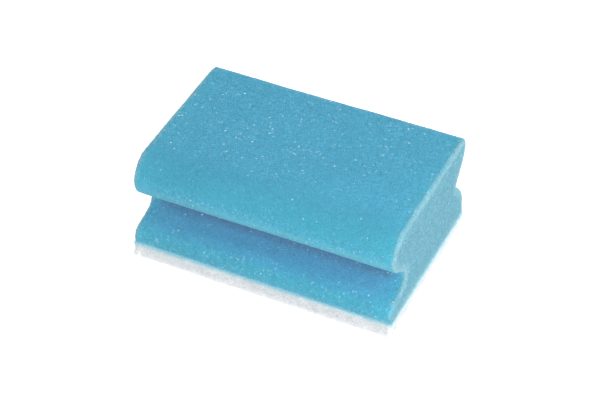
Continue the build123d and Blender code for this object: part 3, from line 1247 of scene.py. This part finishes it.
def felt_material(name, dark, light, clump, above=None, painted_light_below=None):
    """White nylon felt: pale fibres over greyer gaps, their grey a painted shade, in clumps.
    above tints it over the join; it pales downwards from the height its last argument gives, a
    painted highlight."""
    m = Finish(name)
    fine = m.times(m.noise(scale=2100.0, detail=4.0, rough=0.7), 0.84)
    coarse = m.times(m.noise(scale=420.0, detail=3.0, rough=0.6), 0.16)
    mottle = m.math("ADD", fine, coarse)
    own = m.times_add(m.attr("fibre_tone"), factor=clump, extra=0.0)
    base = m.mix(m.math("ADD", m.remap(mottle, 0.38, 0.62), own, clamp=True), dark, light)
    # painted highlight: the felt turns near white towards the bottom, as if washed out by light
    if painted_light_below:
        low = m.remap(m.place()[2], painted_light_below * MM, 0.2 * MM, to_hi=0.8)
        base = m.mix(low, base, (0.985, 0.99, 0.995, 1))
    if above:
        base = m.mix(1.0, base, m.fade_down(above, (1, 1, 1, 1)), "MULTIPLY")
    rough = m.noise(scale=2600.0, detail=3.0, rough=0.7)
    height = m.math("ADD", rough, m.voronoi(scale=1300.0))
    m.set({
        "Base Color": base,
        "Roughness": m.remap(m.noise(scale=1500.0), 0.3, 0.7, to_lo=0.62, to_hi=0.88),
        "Specular IOR Level": 0.35,
        "Sheen Weight": 0.12,
        "Normal": m.bump(height, strength=0.5, distance=0.0001),
    })
    return m.mat


def glue_material():
    """Dried glue: milky, faintly yellow, uneven in gloss."""
    m = Finish("glue_finish")
    cloud = m.remap(m.noise(scale=220.0, detail=3.0), 0.35, 0.65)
    gloss = m.noise(scale=600.0, detail=3.0)
    height = m.noise(scale=500.0, detail=3.0)
    m.set({
        "Base Color": m.mix(cloud, (0.56, 0.72, 0.77, 1), (0.72, 0.80, 0.80, 1)),
        "Roughness": m.remap(gloss, 0.3, 0.7, to_lo=0.30, to_hi=0.60),
        "Normal": m.bump(height, strength=0.4, distance=0.0002),
    })
    return m.mat


def floor_material():
    """A pale sweep. The camera sees it lifted towards white, as paper lit from behind,
    so that only a faint contact shadow stays on it."""
    m = Finish("floor_finish")
    seen = m.new("LightPath").outputs["Is Camera Ray"]
    cloud = m.remap(m.noise(scale=3.0), 0.3, 0.7)
    paper = m.mix(cloud, (0.90, 0.90, 0.90, 1), (0.92, 0.92, 0.92, 1))
    m.set({
        "Base Color": m.mix(seen, paper, (0.50, 0.50, 0.50, 1)),
        "Emission Color": (1, 1, 1, 1),
        "Emission Strength": m.times(seen, 0.76),
        "Roughness": 0.95,
        "Specular IOR Level": 0.1,
    })
    return m.mat


# ----------------------------------------------------------------------- stage
def build_floor(half=4):
    mesh = bpy.data.meshes.new("floor")
    corners = [(-half, -half, 0), (half, -half, 0), (half, half, 0), (-half, half, 0)]
    mesh.from_pydata(corners, [], [(0, 1, 2, 3)])
    floor = bpy.data.objects.new("floor", mesh)
    floor.location.z = -0.0001
    bpy.context.scene.collection.objects.link(floor)
    mesh.materials.append(floor_material())


def build_world():
    """The camera sees a white backdrop, while the part is lit by a much dimmer one."""
    world = bpy.data.worlds.new("studio")
    bpy.context.scene.world = world
    world.use_nodes = True
    tree = world.node_tree
    background = tree.nodes["Background"]
    background.inputs[0].default_value = (1.0, 1.0, 1.0, 1)
    seen = tree.nodes.new("ShaderNodeLightPath").outputs["Is Camera Ray"]
    strength = tree.nodes.new("ShaderNodeMapRange")
    tree.links.new(seen, strength.inputs["Value"])
    strength.inputs["To Min"].default_value = 0.30
    strength.inputs["To Max"].default_value = 1.0
    tree.links.new(strength.outputs[0], background.inputs[1])


def place_facing(name, data, target, azimuth, elevation, distance):
    """Adds a light or camera that looks at a target from a distance. Azimuth 0 is in
    front of the finger groove, 90 to the right; both angles are in degrees."""
    a, e = math.radians(azimuth), math.radians(elevation)
    away = Vector((math.sin(a) * math.cos(e), -math.cos(a) * math.cos(e), math.sin(e)))
    placed = bpy.data.objects.new(name, data)
    placed.location = away * distance + Vector(target)
    placed.rotation_euler = (-away).to_track_quat("-Z", "Y").to_euler()
    bpy.context.scene.collection.objects.link(placed)
    return placed


# Square soft lights: name, azimuth and elevation in degrees, power in watts
SOFT_BOXES = (
    ("overhead_box", 0, 65, 3.75),
    ("low_front_box", 40, 15, 7.9),
    ("front_box", 40, 40, 2.1),
    ("low_side_box", 80, 15, 1.6),
    ("side_box", 80, 40, 2.3),
    ("back_box", 180, 9, 6.5),
    ("right_box", 90, 6, 5.0),
    ("left_box", -90, 8, 8.5),
    ("back_left_box", -145, 8, 5.5),
)


def build_lights():
    for name, azimuth, elevation, power in SOFT_BOXES:
        light = bpy.data.lights.new(name, "AREA")
        light.shape = "SQUARE"
        light.size = 0.6
        light.energy = power
        place_facing(name, light, (0, 0, 0.02), azimuth, elevation, distance=1.2)


def build_camera():
    data = bpy.data.cameras.new("camera")
    data.sensor_width = 36.0
    data.lens = 118.68
    data.clip_start = 0.05
    bpy.context.scene.camera = place_facing(
        "camera", data, target=(-0.00002, -0.00039, 0.02008),
        azimuth=25.36, elevation=40.71, distance=0.7549,
    )
    bpy.context.scene.view_settings.view_transform = "Standard"


# --------------------------------------------------------------------- assembly
def paint(material, *pieces):
    for piece in pieces:
        piece.data.materials.append(material)


cells = foam_cells()
shape_block(cells)
foam = build_foam(cells)
pad_core = build_pad_core()
edge_fibres = build_edge_fibres()
seam = build_seam_fibres()
under = build_under_fibres()
glue = build_glue()
strands = build_strands(cells)
fringe = build_fringe(cells)

paint(foam_material(), foam)
paint(strand_material(
    "strand_finish", dark=(0.16, 0.52, 0.68, 1), light=(0.42, 0.76, 0.88, 1),
), strands)
# the core painted greyer than the fibres: painted shade for the gaps between them
paint(felt_material(
    "felt_core_finish", dark=(0.50, 0.52, 0.545, 1), light=(0.86, 0.88, 0.895, 1), clump=0.34,
), pad_core)
felt = dict(dark=(0.65, 0.68, 0.71, 1), light=(0.95, 0.973, 0.983, 1), clump=0.34)
# edge fibres paled towards the bottom: painted highlight
paint(felt_material("felt_fibre_finish", **felt, painted_light_below=2.6), *edge_fibres)
paint(felt_material("felt_face_finish", **felt), under)
paint(felt_material(
    "felt_seam_finish", dark=(0.80, 0.83, 0.85, 1), light=(0.93, 0.95, 0.96, 1), clump=0.18,
    above=(0.62, 0.87, 0.93, 1),
), seam)
paint(strand_material(
    "fringe_finish", dark=(0.23, 0.58, 0.70, 1), light=(0.48, 0.77, 0.85, 1),
    below=(0.86, 0.93, 0.95, 1),
), fringe)
paint(glue_material(), glue)

build_floor()
build_world()
build_lights()
build_camera()
